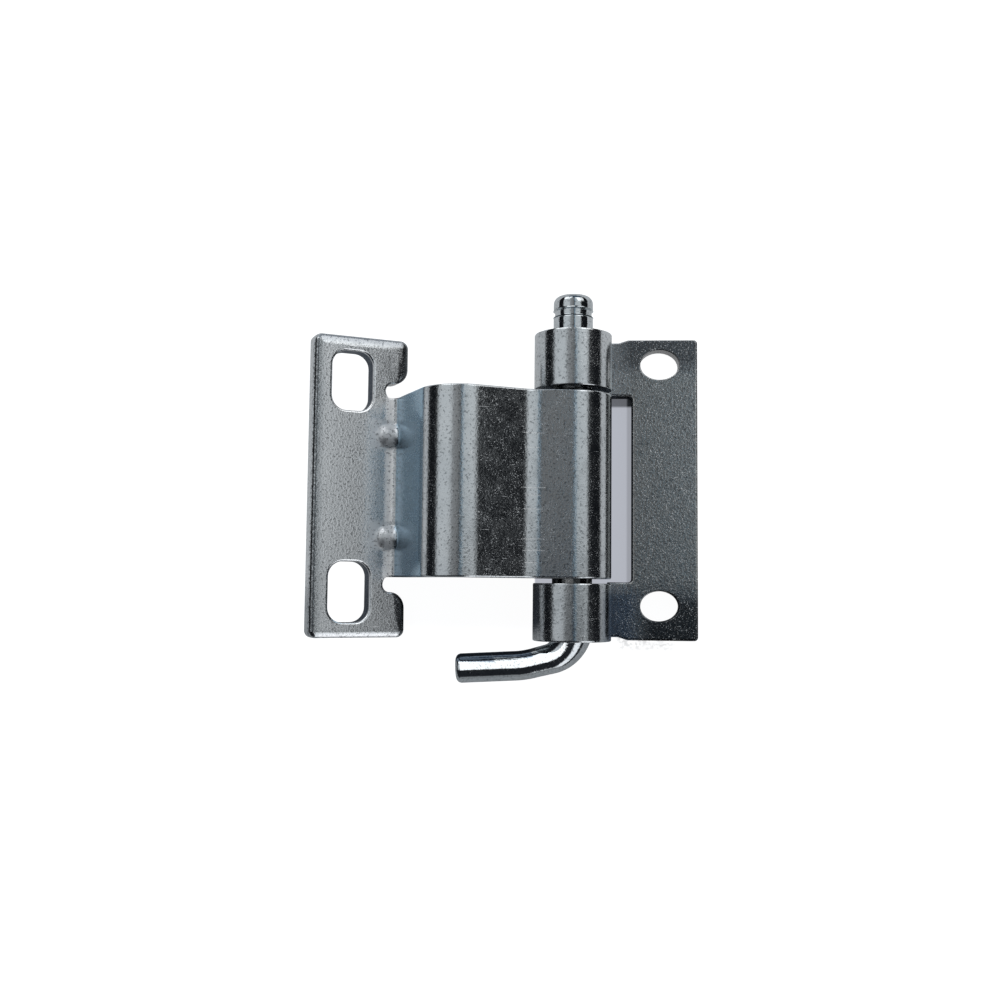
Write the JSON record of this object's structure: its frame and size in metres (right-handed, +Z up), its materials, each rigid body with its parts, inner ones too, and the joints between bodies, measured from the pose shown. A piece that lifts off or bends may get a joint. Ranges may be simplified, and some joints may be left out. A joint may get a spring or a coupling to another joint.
{
  "type": "concealed hinge",
  "caption": "Concealed cabinet hinge of bent zinc-plated sheet: a cranked leaf and a flat leaf with rolled knuckles, joined by a removable pin with a bent handle.",
  "frame": {"origin": "middle between the slots of the cranked leaf's flange, on the face that is bolted down", "axes": "+X from the flange towards the pin, +Y the way the flange's bolted face looks, +Z up along the pin, with the pin's handle below"},
  "size_m": [0.0603, 0.0262, 0.0636],
  "materials": {
    "zinc_sheet": "bright zinc plating over rolled sheet with fine speckle and small scratches",
    "zinc_rod": "smooth bright zinc plating over drawn rod"
  },
  "bodies": {
    "cranked_side": {"swan_neck_leaf": "zinc_sheet"},
    "flat_side": {"flat_leaf": "zinc_sheet"},
    "pin": {"hinge_pin": "zinc_rod"}
  },
  "joints": [
    {"name": "leaf_swing", "type": "hinge", "parent": "cranked_side", "child": "flat_side", "pos_m": [0.0324, -0.0196, 0], "axis": [0, 0, 1], "range_deg": [-151, 171]},
    {"name": "pin_pull", "type": "slide", "parent": "flat_side", "child": "pin", "axis": [0, 0, -1], "range_m": [0, 0.058]}
  ]
}
